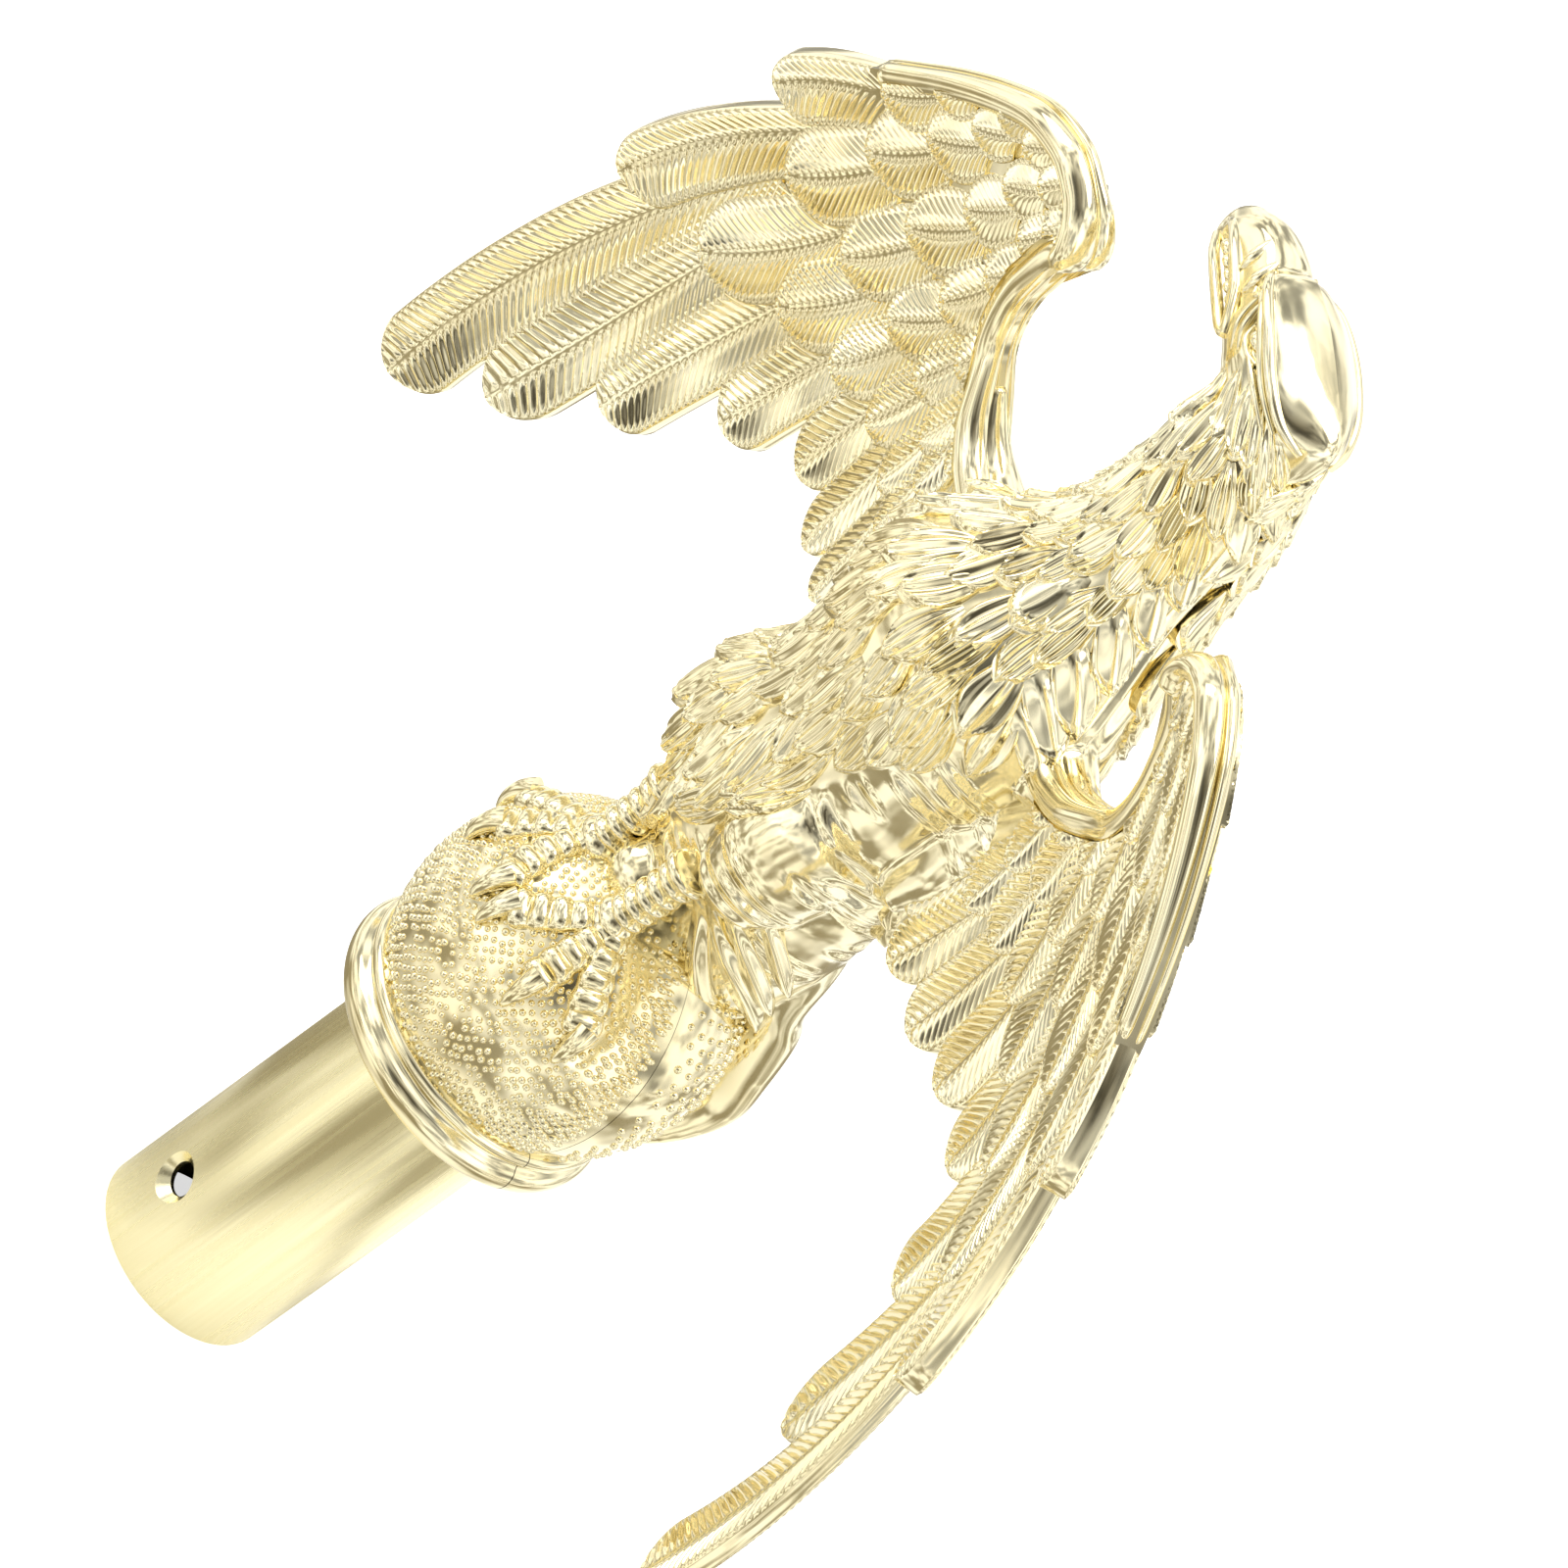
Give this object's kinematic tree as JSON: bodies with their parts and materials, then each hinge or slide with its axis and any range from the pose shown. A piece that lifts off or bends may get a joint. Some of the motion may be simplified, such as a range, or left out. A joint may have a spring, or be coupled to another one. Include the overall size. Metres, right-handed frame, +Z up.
{
  "type": "flag pole topper",
  "caption": "Gold eagle topper for a flag pole: an eagle with raised wings stands on a ball above a beaded collar and a socket tube that slips over the pole.",
  "frame": {"origin": "centre of the socket tube's open lower end", "axes": "+Z up along the tube; the eagle's breast faces -Y and its head is turned to its own right, -X"},
  "size_m": [0.1982, 0.0638, 0.2252],
  "materials": {
    "gold_plate": "moulded plastic with a pale gold mirror plating",
    "satin_tube": "satin gold anodised tube with fine lengthwise marks",
    "plug_wood": "plain turned beech",
    "pin_steel": "bright steel wire"
  },
  "bodies": {
    "root": {"ferrule_tube": "satin_tube", "tube_plug": "plug_wood", "cross_pin": "pin_steel", "front_shell": "gold_plate", "back_shell": "gold_plate", "shell_pins": "pin_steel", "right_wing_front": "gold_plate", "right_wing_back": "gold_plate", "left_wing_front": "gold_plate", "left_wing_back": "gold_plate", "wing_pins": "pin_steel"}
  },
  "joints": []
}
